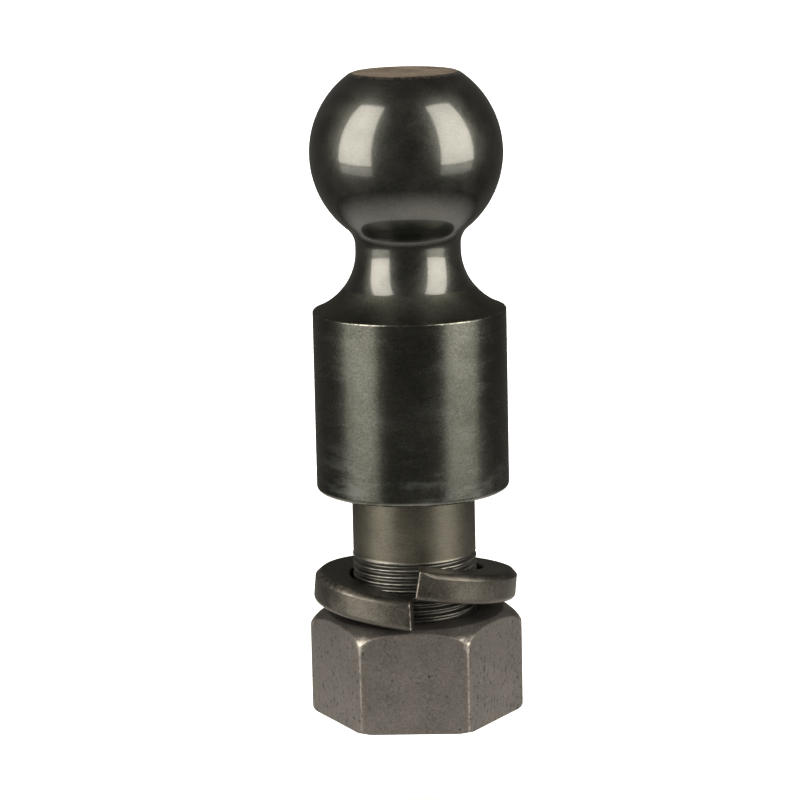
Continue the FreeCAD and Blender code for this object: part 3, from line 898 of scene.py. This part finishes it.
@dataclass
class LockWasher:
    """The spring lock washer: one left-handed turn of bar, leaning on the shank. Sizes in millimetres."""

    node: str = "lock_washer"
    slot: str = "spring_steel"
    outer_radius: float = 31.03
    bore_radius: float = 20.4
    thick: float = 9.0
    rise: float = 9.6
    sweep: float = 358.6
    chamfer: float = 1.5
    chamfer_end: float = 6.0
    bottom_round: float = 1.6
    bore_round: float = 0.7
    centre: tuple[float, float, float] = (0.1, -0.55, -30.55)
    start: float = -92.0
    lean_x: float = -3.8
    lean_y: float = 5.6
    edge_soft: float = 0.22
    end_soft: float = 0.22
    end_soft_reach: float = 0.35
    chamfer_left: float = 0.08
    shear_reach: float = 6.0
    low_shear: float = -0.2
    low_shear_rise: float = 1.3
    low_shear_inward: float = -0.9
    high_shear: float = 0.1
    high_shear_rise: float = -0.7
    stations: int = 320

    END_PLACES: ClassVar[tuple[float, ...]] = (0.0, 0.06, 0.15, 0.3, 0.6, 1.0, 1.6, 2.4, 3.4, 4.6, 6.0)
    CAP_RINGS: ClassVar[tuple[Point, ...]] = ((0.04, 0.75), (0.12, 0.1), (0.5, 0.0))
    EDGE_RUB: ClassVar[float] = 0.26
    EDGE_RUB_MORE: ClassVar[float] = 0.3
    EDGE_RUB_STARTS: ClassVar[Point] = (0.06, 0.13)
    EDGE_RUB_ENDS: ClassVar[Point] = (0.2, 0.3)
    EDGE_RUB_WIDTH: ClassVar[float] = 1.4
    EDGE_RUB_BELOW: ClassVar[float] = 0.9
    EDGE_RUB_ABOVE: ClassVar[float] = 0.2
    BURR_RUB: ClassVar[float] = 0.85
    BURR_FADES: ClassVar[Point] = (0.15, 0.6)

    def build(self) -> bpy.types.Object:
        """Build and dress the washer.

        Returns:
            The finished piece.
        """
        material = SPRING_BAR.material()
        mesh = self.coil(self.bar(), material)
        lean = Matrix.Rotation(math.radians(self.lean_y), 4, "Y")
        lean = lean @ Matrix.Rotation(math.radians(self.lean_x), 4, "X")
        lean = lean @ Matrix.Rotation(math.radians(self.start), 4, "Z")
        mesh.transform(Matrix.Translation(Vector(self.centre) * MM) @ lean)
        shell = Shell()
        shell.add(mesh)
        piece = shell.piece("spring_washer")
        piece.data.materials.append(material)
        return piece

    def bottom(self) -> float:
        """Return the height of the straight bar's underside."""
        return -(self.rise + self.thick) / 2

    def section(self, chamfer: float) -> list[Point]:
        """Return the bar's section.

        Args:
            chamfer: the chamfer at the top outside.

        Returns:
            Points of radius and height, the same number whatever the chamfer.
        """
        low, high = self.bottom(), self.bottom() + self.thick
        bore, outside = self.bore_radius, self.outer_radius
        inner, outer = self.bore_round, self.bottom_round
        soft, slight = self.edge_soft, self.edge_soft * 0.2
        outline = Outline(bore + inner, low)
        outline.line(outside - outer, low, steps=6)
        outline.arc((outside - outer, low + outer), outer, -90, 0, steps=9)
        outline.line(outside, high - chamfer - soft, steps=6)
        outline.line(outside - slight * 0.9, high - chamfer - slight, control=False)
        outline.line(outside - chamfer / 2, high - (chamfer + slight) / 2, control=False)
        outline.line(outside - chamfer - slight, high - slight * 0.9, control=False)
        outline.line(outside - chamfer - soft, high, control=False)
        outline.line(bore + inner, high, steps=6)
        outline.arc((bore + inner, high - inner), inner, 90, 180, steps=5)
        outline.line(bore, low + inner, steps=4)
        outline.arc((bore + inner, low + inner), inner, 180, 270, steps=5)
        return outline.points[:-1]

    def bar(self) -> bpy.types.Mesh:
        """Build the bar before it is coiled.

        X is the distance from the axis, Y runs from 0 to 1 along the bar, and Z is the height.

        Returns:
            A closed mesh with its wear marked.
        """
        length = math.radians(self.sweep) * self.outer_radius
        reach = self.END_PLACES[-1]
        middle = [reach + (length - 2 * reach) * step / self.stations for step in range(1, self.stations)]
        far = [length - distance for distance in reversed(self.END_PLACES)]
        centre = ((self.bore_radius + self.outer_radius) / 2, -self.rise / 2)
        work = bmesh.new()
        worn = work.verts.layers.float.new("worn")
        rings = []
        for along in [*self.END_PLACES, *middle, *far]:
            from_low, from_high = along, length - along
            left = self.chamfer_left
            chamfer = self.chamfer * (left + (1 - left) * ease(from_high, 0.0, self.chamfer_end))
            pull = self.end_soft * (1 - ease(min(from_low, from_high), 0.0, self.end_soft_reach)) / 2
            ring = []
            for across, up in self.section(chamfer):
                across += math.copysign(pull, centre[0] - across)
                up += math.copysign(pull, centre[1] - up)
                skew = self.skew(across, up, from_low, from_high)
                vertex = work.verts.new((across * MM, (along + skew) / length, up * MM))
                vertex[worn] = self.wear(across, up, from_low, from_high, length)
                ring.append(vertex)
            rings.append(ring)
        for first, second in zip(rings, rings[1:]):
            self.join(work, first, second)
        for ring in (rings[0], rings[-1]):
            self.cap(work, worn, ring)
        mesh = bpy.data.meshes.new("washer_bar")
        work.to_mesh(mesh)
        work.free()
        return mesh

    @staticmethod
    def join(work: bmesh.types.BMesh, first: Sequence[bmesh.types.BMVert],
             second: Sequence[bmesh.types.BMVert]) -> None:
        """Join two closed rings with faces."""
        for number, vertex in enumerate(first):
            following = (number + 1) % len(first)
            work.faces.new((vertex, first[following], second[following], second[number]))

    def cap(self, work: bmesh.types.BMesh, worn: bmesh.types.BMLayerItem,
            ring: Sequence[bmesh.types.BMVert]) -> None:
        """Close one sheared end with rings that step in to its middle."""
        middle = sum((vertex.co for vertex in ring), Vector()) / len(ring)
        outer = ring
        for share, rub in self.CAP_RINGS:
            inner = []
            for vertex in ring:
                made = work.verts.new(vertex.co.lerp(middle, share))
                made[worn] = rub
                inner.append(made)
            self.join(work, outer, inner)
            outer = inner
        centre = work.verts.new(middle)
        for number, vertex in enumerate(outer):
            work.faces.new((vertex, outer[(number + 1) % len(outer)], centre))

    def skew(self, across: float, up: float, from_low: float, from_high: float) -> float:
        """Return how far the shear of an end carries a point along the bar.

        Args:
            across: the point's distance from the axis.
            up: its height.
            from_low: its distance along the bar from the low end.
            from_high: its distance from the high end.

        Returns:
            The distance, in millimetres.
        """
        rise = (up - self.bottom()) / self.thick
        inward = (self.outer_radius - across) / (self.outer_radius - self.bore_radius)
        low = self.low_shear + self.low_shear_rise * rise + self.low_shear_inward * inward
        high = self.high_shear + self.high_shear_rise * rise
        low *= 1 - ease(from_low, 0.0, self.shear_reach)
        return low + high * (1 - ease(from_high, 0.0, self.shear_reach))

    def wear(self, across: float, up: float, from_low: float, from_high: float, length: float) -> float:
        """Return how rubbed the bar is: along its top outer edge, and at the burrs of its ends.

        Args:
            across: the point's distance from the axis.
            up: its height.
            from_low: its distance along the bar from the low end.
            from_high: its distance from the high end.
            length: the bar's length.

        Returns:
            The amount, from 0 to 1.
        """
        edge_radius = self.outer_radius - self.chamfer
        edge_height = self.bottom() + self.thick - self.chamfer
        edge = ease(across, edge_radius - self.EDGE_RUB_WIDTH, edge_radius)
        edge *= ease(up, edge_height - self.EDGE_RUB_BELOW, edge_height + self.EDGE_RUB_ABOVE)
        share = from_low / length
        more = ease(share, *self.EDGE_RUB_STARTS) * (1 - ease(share, *self.EDGE_RUB_ENDS))
        burr = self.BURR_RUB * (1 - ease(min(from_low, from_high), *self.BURR_FADES))
        return max(edge * (self.EDGE_RUB + self.EDGE_RUB_MORE * more), burr)

    def coil(self, bar: bpy.types.Mesh, finish: bpy.types.Material) -> bpy.types.Mesh:
        """Wind the bar once round the upright axis, going down to the left.

        Args:
            bar: the straight bar.
            finish: its material.

        Returns:
            The coiled bar.
        """
        tree = ShapeTree("washer_coil", [
            TreeInput("Sweep", "NodeSocketFloat", math.radians(self.sweep)),
            TreeInput("Rise", "NodeSocketFloat", self.rise * MM * self.sweep / 360),
            TreeInput("Hand", "NodeSocketFloat", -1.0),
            TreeInput("Finish", "NodeSocketMaterial", finish),
        ])
        across, along, up = tree.coordinates()
        height = up + tree.given("Rise") * along
        angle = tree.given("Sweep") * tree.given("Hand") * along
        tree.close(tree.place(tree.given("Geometry"), across, angle, height))
        return tree.run(bar)


# ---------------------------------------------------------------- the nut

@dataclass
class HexNut:
    """The hexagon nut, with a crowned top and a countersunk thread. Sizes in millimetres."""

    node: str = "hex_nut"
    slot: str = "nut_steel"
    flat_radius: float = 28.575
    top: float = -38.4
    height: float = 32.5
    turn: float = -1.8
    corner_round: float = 2.0
    base_round: float = 0.8
    crown_radius: float = 27.15
    crown_slope: float = 30.0
    crown_round: float = 6.5
    overcut: float = 0.4
    foot_radius: float = 30.6
    bore_radius: float = 18.05
    sink: float = 1.4
    thread_radius: float = 19.35
    thread_pitch: float = 2.1167
    ridge_height: float = -73.575
    crease: float = 0.28
    crowding: float = 0.112
    face_pits: tuple[float, ...] = (0.9, 0.35, 0.8, 1.0, 0.3, 1.0)
    steps_round: int = 216

    TOP_SHARES: ClassVar[tuple[float, ...]] = (0.0, 0.02, 0.2, 0.4, 0.6, 0.8, 0.97, 1.0)
    BASE_SHARES: ClassVar[tuple[float, ...]] = (0.98, 0.75, 0.5, 0.25, 0.03, 0.0)
    CROWN_STEP: ClassVar[float] = 0.18
    CROWN_ENDS: ClassVar[float] = 8.2
    SIDE_STEP: ClassVar[float] = 1.1
    FOOT_STARTS: ClassVar[float] = 4.0
    FOOT_STEP: ClassVar[float] = 0.26
    EDGE_GAP: ClassVar[float] = 0.3
    EDGE_ANGLES: ClassVar[range] = range(0, 91, 15)
    PITS_START: ClassVar[Point] = (0.5, 3.0)
    TOP_PITS_LOST: ClassVar[float] = 0.8
    # The bright patches below the crown's corners: rubbed metal plus a painted highlight where light catches
    # the corners.
    PATCH_RUB_AND_HIGHLIGHT: ClassVar[float] = 0.75
    PATCH_WIDTH: ClassVar[float] = 2.6
    PATCH_NARROWS: ClassVar[Point] = (2.5, 7.5)
    PATCH_STARTS: ClassVar[Point] = (1.2, 2.6)
    PATCH_ENDS: ClassVar[Point] = (6.5, 9.5)
    PATCH_LEAST: ClassVar[float] = 0.55
    CORNER_RUB: ClassVar[float] = 0.55
    CORNER_WIDTH: ClassVar[float] = 0.4

    def build(self) -> bpy.types.Object:
        """Build and dress the nut.

        Returns:
            The finished piece.
        """
        material = PITTED_NUT.material()
        shell = Shell()
        shell.rows([self.ring(*row) for row in self.rows()])
        shell.add(self.thread().surface(material))
        piece = shell.piece("hexagon_nut")
        piece.data.materials.append(material)
        # On the nut the worn attribute also holds a painted highlight below the crown's corners.
        mark(piece.data, "worn", self.wear)
        mark(piece.data, "pitted", self.pitting)
        return piece

    def pitting(self, place: Vector) -> float:
        """Return how deeply the nut is pitted at a place: most on the faces beside the front and back."""
        angle = math.atan2(place.y, place.x) - math.radians(self.turn)
        side = int(angle // SECTOR) % NUT_SIDES
        across = math.hypot(place.x, place.y)
        inward = 1 - ease(across, self.crown_radius - 1.0, self.crown_radius + 1.0)
        below = ease(self.top - place.z, *self.PITS_START)
        return self.face_pits[side] * below * (1 - self.TOP_PITS_LOST * inward)

    def mouth(self) -> float:
        """Return the radius of the countersink's edge."""
        return self.bore_radius + self.sink

    def rows(self) -> list[tuple[float, Optional[float], float]]:
        """Return the rings of the outside, from the bore's top edge round to its bottom edge.

        Returns:
            For each ring, how far it is below the top, its radius where that is fixed, and how far
            it has gone from the bore (0) to the outside (1).
        """
        mouth = self.mouth()
        last = self.height - self.base_round - self.EDGE_GAP
        rows: list[tuple[float, Optional[float], float]] = []
        for share in self.TOP_SHARES:
            rows.append((0.0, mouth + (self.crown_radius - mouth) * share, share))
        drop = 0.0
        while drop < last:
            if drop < self.CROWN_ENDS:
                drop += self.CROWN_STEP
            elif drop < self.height - self.FOOT_STARTS:
                drop += self.SIDE_STEP
            else:
                drop += self.FOOT_STEP
            rows.append((min(drop, last), None, 1.0))
        for angle in self.EDGE_ANGLES:
            rise = self.base_round * (1 - math.sin(math.radians(angle)))
            rows.append((self.height - rise, None, 1.0))
        for share in self.BASE_SHARES:
            rows.append((self.height, -share, share))
        return rows

    def ring(self, drop: float, fixed: Optional[float], outward: float) -> list[Vector]:
        """Return one ring of points.

        Args:
            drop: how far below the top it is.
            fixed: a radius, a negative share of the way from the bore to the outside, or nothing for
                the outside itself.
            outward: 0 spaces the points evenly, 1 crowds them at the corners.

        Returns:
            The ring's points.
        """
        mouth = self.mouth()
        corner = math.radians(self.turn)
        ring = []
        for step in range(self.steps_round):
            even = FULL_TURN * step / self.steps_round
            angle = even - outward * self.crowding * math.sin(NUT_SIDES * (even - corner))
            if fixed is None:
                radius = self.outside(angle, drop)
            elif fixed > 0:
                radius = fixed
            else:
                radius = mouth - fixed * (self.outside(angle, drop) - mouth)
            ring.append(Vector((radius * math.cos(angle), radius * math.sin(angle), self.top - drop)))
        return ring

    def outside(self, angle: float, drop: float) -> float:
        """Return the nut's outside radius at an angle and a distance below its top."""
        hexagon = self.hexagon(angle)
        above_base = self.height - drop
        if above_base < self.base_round:
            short = self.base_round - above_base
            hexagon -= self.base_round - math.sqrt(max(0.0, self.base_round ** 2 - short ** 2))
        return self.creased(self.creased(hexagon, self.crown(drop)), self.foot(above_base))

    def creased(self, first: float, second: float) -> float:
        """Return the smaller of two radii, eased where they cross."""
        near = max(0.0, self.crease - abs(first - second)) / self.crease
        return min(first, second) - near * near * self.crease / 4

    def foot(self, above_base: float) -> float:
        """Return the radius of the base's corners, which round up into the upright edges."""
        side = self.flat_radius / math.cos(SECTOR / 2)
        rounding = side - self.foot_radius
        if above_base < rounding:
            return self.foot_radius + math.sqrt(rounding ** 2 - (rounding - above_base) ** 2)
        return side + rounding

    def from_corner(self, angle: float) -> float:
        """Return an angle measured from the nearest corner, in radians."""
        return (angle - math.radians(self.turn) + SECTOR / 2) % SECTOR - SECTOR / 2

    def hexagon(self, angle: float) -> float:
        """Return the radius of the hexagon with rounded corners."""
        from_corner = self.from_corner(angle)
        from_flat = SECTOR / 2 - abs(from_corner)
        reach = (self.flat_radius - self.corner_round) / math.cos(SECTOR / 2)
        edge = math.atan(reach * math.sin(SECTOR / 2) / self.flat_radius)
        if from_flat < edge:
            return self.flat_radius / math.cos(from_flat)
        across = reach * math.sin(from_corner)
        return reach * math.cos(from_corner) + math.sqrt(self.corner_round ** 2 - across ** 2)

    def crown(self, drop: float) -> float:
        """Return the radius of the crown: a slope that rounds over into the corners."""
        slope = math.radians(self.crown_slope)
        outside = self.flat_radius / math.cos(SECTOR / 2) + self.overcut
        knee = outside - self.crown_round * (1 - math.sin(slope))
        knee_drop = (knee - self.crown_radius) * math.tan(slope)
        shoulder = knee_drop + self.crown_round * math.cos(slope)
        if drop < knee_drop:
            return self.crown_radius + drop / math.tan(slope)
        if drop < shoulder:
            rise = shoulder - drop
            return outside - self.crown_round + math.sqrt(self.crown_round ** 2 - rise ** 2)
        return outside + self.crown_round

    def thread(self) -> ScrewThread:
        """Return the thread in the bore, in step with the stud's."""
        return ScrewThread(
            side=-1, crest_radius=self.bore_radius, root_radius=self.thread_radius, pitch=self.thread_pitch,
            groove_start=self.ridge_height - self.thread_pitch / 2,
            low_end=self.top - self.height, low_radius=self.mouth(),
            high_end=self.top, high_radius=self.mouth(), high_step=self.top,
            last_turn=100.0, fade_turns=1.0, steps_round=self.steps_round,
            crest_share=0.166667, floor_share=0.125, steps_across=10)

    def wear(self, place: Vector) -> float:
        """Return how rubbed the nut is at a place: its corners, most of all under the crown, where the bright
        patch stands for rubbed metal and a painted highlight together.
        """
        across = math.hypot(place.x, place.y)
        if across < self.crown_radius:
            return 0.0
        sideways = abs(self.from_corner(math.atan2(place.y, place.x))) * across
        drop = self.top - place.z
        spread = self.PATCH_WIDTH * (1 - ease(drop, *self.PATCH_NARROWS)) + self.PATCH_LEAST
        # The patch below the crown at each corner is partly rubbed metal and partly a painted highlight.
        rubbed_and_lit_patch = math.exp(-(sideways / spread) ** 2) * ease(drop, *self.PATCH_STARTS)
        rubbed_and_lit_patch *= 1 - ease(drop, *self.PATCH_ENDS)
        line = self.CORNER_RUB * math.exp(-(sideways / self.CORNER_WIDTH) ** 2)
        return max(self.PATCH_RUB_AND_HIGHLIGHT * rubbed_and_lit_patch, line)


# ---------------------------------------------------------------- the studio

@dataclass(frozen=True)
class Panel:
    """An upright lit panel that faces the axis from one side.

    facing is the azimuth of its nearest point in degrees, from the camera's side towards the right, and
    width is measured from that point outwards. Lengths are in metres.
    """

    name: str
    facing: float
    distance: float
    width: float
    bottom: float
    top: float
    strength: float
    colour: Triple

    def outward(self) -> Vector:
        """Return the level direction from the axis to the panel's nearest point."""
        angle = math.radians(self.facing)
        return Vector((math.sin(angle), -math.cos(angle), 0.0))

    def spot(self, sideways: float, up: float) -> Vector:
        """Return a point of the panel's plane."""
        angle = math.radians(self.facing)
        along = Vector((math.cos(angle), math.sin(angle), 0.0)) * math.copysign(1.0, self.facing)
        return self.outward() * self.distance + along * sideways + Vector((0.0, 0.0, up))

    def softbox(self) -> None:
        """Put the panel in the scene as an area light, which the camera doesn't see."""
        height = self.top - self.bottom
        lamp = bpy.data.lights.new(self.name, "AREA")
        lamp.shape = "RECTANGLE"
        lamp.size = self.width
        lamp.size_y = height
        lamp.energy = self.strength * math.pi * self.width * height
        lamp.color = self.colour
        thing = bpy.data.objects.new(self.name, lamp)
        bpy.context.scene.collection.objects.link(thing)
        thing.location = self.spot(self.width / 2, (self.top + self.bottom) / 2)
        thing.rotation_euler = self.outward().to_track_quat("Z", "Y").to_euler()
        thing.visible_camera = False

    def glow(self) -> None:
        """Put the panel in the scene as a dim card that only reflections show."""
        mesh = bpy.data.meshes.new(self.name)
        corners = [(0.0, self.bottom), (self.width, self.bottom), (self.width, self.top), (0.0, self.top)]
        mesh.from_pydata([self.spot(*corner) for corner in corners], [], [(0, 1, 2, 3)])
        reflection_only(link(self.name, mesh), self.colour, self.strength)


@dataclass(frozen=True)
class Overhead:
    """A square light over the object that isn't mirrored in the steel. Lengths are in metres."""

    name: str
    size: float
    energy: float
    place: Triple
    tilt: float

    def hang(self) -> None:
        """Put the light in the scene."""
        lamp = bpy.data.lights.new(self.name, "AREA")
        lamp.shape = "SQUARE"
        lamp.size = self.size
        lamp.energy = self.energy
        thing = bpy.data.objects.new(self.name, lamp)
        thing.location = self.place
        thing.rotation_euler = (math.radians(self.tilt), 0.0, 0.0)
        thing.visible_glossy = False
        thing.visible_camera = False
        bpy.context.scene.collection.objects.link(thing)


def reflection_only(card: bpy.types.Object, colour: Triple, strength: float,
                    fades: Optional[Point] = None) -> None:
    """Make a card glow in reflections and be seen nowhere else.

    Args:
        card: a flat mesh object.
        colour: the colour of its light.
        strength: how bright it is.
        fades: the distances from the axis between which the light fades away, or nothing.
    """
    material = bpy.data.materials.new(card.name)
    bench = NodeBench.of(material)
    shown: Operand = (*colour, 1.0)
    if fades:
        place = bench.stretched((1.0, 1.0, 0.0))
        away = bench.result("ShaderNodeVectorMath", {"operation": "LENGTH"}, {0: place}, "Value")
        shown = bench.blend(away.between(*fades), shown, (0.0, 0.0, 0.0, 1.0))
    light = bench.result("ShaderNodeEmission", inputs={"Color": shown, "Strength": strength})
    bench.node("ShaderNodeOutputMaterial", inputs={"Surface": light})
    material.cycles.emission_sampling = "NONE"
    card.data.materials.append(material)
    card.visible_camera = False
    card.visible_diffuse = False
    card.visible_shadow = False
    card.visible_transmission = False
    card.visible_volume_scatter = False


@dataclass
class Studio:
    """The pale sweep, the lights and the camera. Lengths are in metres and angles in degrees.

    The floor lies just under the nut's lowest place, so that the nut stays above it when it is unscrewed.
    """

    floor_height: float = -0.1045
    sweep_width: float = 16.0
    sweep_front: float = -8.0
    sweep_back: float = 2.6
    sweep_curve: float = 0.9
    sweep_steps: int = 16
    sweep_top: float = 3.2
    paper_dark: Colour = (0.86, 0.86, 0.855, 1.0)
    paper_light: Colour = (0.9, 0.9, 0.9, 1.0)
    paper_rough: float = 0.9
    paper_grain: float = 6.0
    panel_facing: float = 41.0
    panel_distance: float = 1.04
    softbox_width: float = 1.03
    softbox_ends: Point = (-0.065, 1.72)
    softbox_strength: float = 6.6
    softbox_colour: Triple = (1.0, 0.935, 0.835)
    card_width: float = 0.95
    card_ends: Point = (-0.28, -0.1)
    card_strength: float = 1.7
    card_colour: Triple = (1.0, 0.96, 0.86)
    glow_radius: float = 0.26
    glow_steps: int = 48
    glow_fades: Point = (0.07, 0.26)
    glow_height: float = -0.073
    glow_strength: float = 1.25
    glow_colour: Triple = (1.0, 0.94, 0.85)
    room_colour: Colour = (0.9, 0.84, 0.74, 1.0)
    room_strength: float = 0.11
    camera_place: Triple = (0.0, -1.0375, 0.2364)
    camera_down: float = 10.909
    camera_roll: float = 1.228
    camera_lens: float = 155.74
    camera_sensor: float = 36.0
    camera_shift: Point = (-0.013386, -0.03781)
    camera_sees: Point = (0.05, 30.0)

    def build(self) -> None:
        """Build the sweep, the lights and the camera."""
        self.sweep()
        for side, name in ((-1, "left"), (1, "right")):
            facing = side * self.panel_facing
            Panel(f"{name}_softbox", facing, self.panel_distance, self.softbox_width, *self.softbox_ends,
                  self.softbox_strength, self.softbox_colour).softbox()
            Panel(f"{name}_low_card", facing, self.panel_distance, self.card_width, *self.card_ends,
                  self.card_strength, self.card_colour).glow()
        self.floor_glow()
        Overhead("overhead_soft", size=3.0, energy=60.0, place=(0.0, 0.2, 2.6), tilt=0.0).hang()
        Overhead("backdrop_soft", size=3.0, energy=150.0, place=(0.0, 1.2, 2.4), tilt=62.0).hang()
        self.surroundings()
        self.camera()

    def floor_glow(self) -> None:
        """Let the steel mirror the lit floor close round the object, and only there."""
        ring = []
        for step in range(self.glow_steps):
            angle = FULL_TURN * step / self.glow_steps
            across, along = self.glow_radius * math.cos(angle), self.glow_radius * math.sin(angle)
            ring.append((across, along, self.glow_height))
        mesh = bpy.data.meshes.new("floor_glow")
        mesh.from_pydata(ring, [], [tuple(range(self.glow_steps))])
        reflection_only(link("floor_glow", mesh), self.glow_colour, self.glow_strength, self.glow_fades)

    def surroundings(self) -> None:
        """Make the rest of the room dim and slightly warm."""
        world = bpy.data.worlds.new("dim_room")
        bench = NodeBench.of(world)
        room = bench.result("ShaderNodeBackground", inputs={
            "Color": self.room_colour, "Strength": self.room_strength})
        bench.node("ShaderNodeOutputWorld", inputs={"Surface": room})
        bpy.context.scene.world = world

    def sweep(self) -> None:
        """Build the floor, which curves up into the backdrop."""
        path = [(self.sweep_front, self.floor_height), (self.sweep_back, self.floor_height)]
        for step in range(1, self.sweep_steps + 1):
            angle = math.radians(90 * step / self.sweep_steps)
            path.append((self.sweep_back + self.sweep_curve * math.sin(angle),
                         self.floor_height + self.sweep_curve * (1 - math.cos(angle))))
        path.append((self.sweep_back + self.sweep_curve, self.sweep_top))
        half = self.sweep_width / 2
        vertices = [(side * half, along, up) for along, up in path for side in (-1, 1)]
        faces = [(2 * n, 2 * n + 1, 2 * n + 3, 2 * n + 2) for n in range(len(path) - 1)]
        mesh = bpy.data.meshes.new("studio_sweep")
        mesh.from_pydata(vertices, [], faces)
        for face in mesh.polygons:
            face.use_smooth = True
        mesh.materials.append(self.paper())
        floor = link("studio_sweep", mesh)
        floor.visible_glossy = False

    def paper(self) -> bpy.types.Material:
        """Return the sweep's pale paper."""
        material = bpy.data.materials.new("pale_paper")
        bench = NodeBench.of(material)
        grain = bench.noise(bench.stretched((1.0, 1.0, 1.0)), self.paper_grain)
        surface = bench.result("ShaderNodeBsdfPrincipled", inputs={
            "Base Color": bench.blend(grain, self.paper_dark, self.paper_light),
            "Roughness": self.paper_rough,
            "Specular IOR Level": 0.0,
        })
        bench.node("ShaderNodeOutputMaterial", inputs={"Surface": surface})
        return material

    def camera(self) -> None:
        """Add the camera."""
        lens = bpy.data.cameras.new("camera")
        lens.lens = self.camera_lens
        lens.sensor_width = self.camera_sensor
        lens.shift_x, lens.shift_y = self.camera_shift
        lens.clip_start, lens.clip_end = self.camera_sees
        thing = bpy.data.objects.new("camera", lens)
        turned = Matrix.Rotation(math.radians(90 - self.camera_down), 4, "X")
        turned = turned @ Matrix.Rotation(-math.radians(self.camera_roll), 4, "Z")
        thing.matrix_world = Matrix.Translation(self.camera_place) @ turned
        bpy.context.scene.collection.objects.link(thing)
        bpy.context.scene.camera = thing


# ---------------------------------------------------------------- all together

def main() -> None:
    """Build each sub-assembly in order, then the studio."""
    logging.basicConfig(level=logging.INFO, format="%(message)s")
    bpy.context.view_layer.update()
    for part in (BallStud(), LockWasher(), HexNut()):
        piece = part.build()
        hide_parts(part.node)
        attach(piece, part.node)
        LOG.info("%s stands for %s with %d faces", piece.name, part.node, len(piece.data.polygons))
    Studio().build()
    scene = bpy.context.scene
    scene.view_settings.view_transform = "Standard"


if __name__ == "__main__":
    main()
